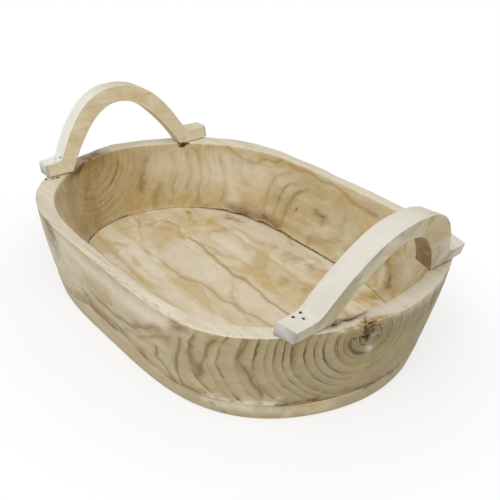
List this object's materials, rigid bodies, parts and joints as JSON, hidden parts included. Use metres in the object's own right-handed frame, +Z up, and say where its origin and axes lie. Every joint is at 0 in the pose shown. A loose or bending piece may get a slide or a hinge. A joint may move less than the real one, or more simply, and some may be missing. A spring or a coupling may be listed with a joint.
{
  "type": "carved wooden bowl",
  "caption": "Oval bowl hollowed from pale wood, with flared walls, a flat board base and an arched wooden handle standing across the rim at each end, for bread, fruit or display.",
  "frame": {"origin": "on the ground, under the middle of the rim", "axes": "+X along the bowl towards the right handle, +Y across it towards the back, +Z up"},
  "size_m": [0.4049, 0.257, 0.1501],
  "materials": {
    "wall": "raw, sanded end grain and long grain",
    "base": "raw, sanded boards",
    "handles": "raw, sawn and sanded",
    "brads": "dull, set below the wood"
  },
  "bodies": {
    "root": {"front_base_board": "base", "middle_base_board": "base", "back_base_board": "base", "bowl_wall": "wall", "right_handle": "handles", "left_handle": "handles", "right_handle_brads": "brads", "left_handle_brads": "brads", "base_brads": "brads"}
  },
  "joints": []
}
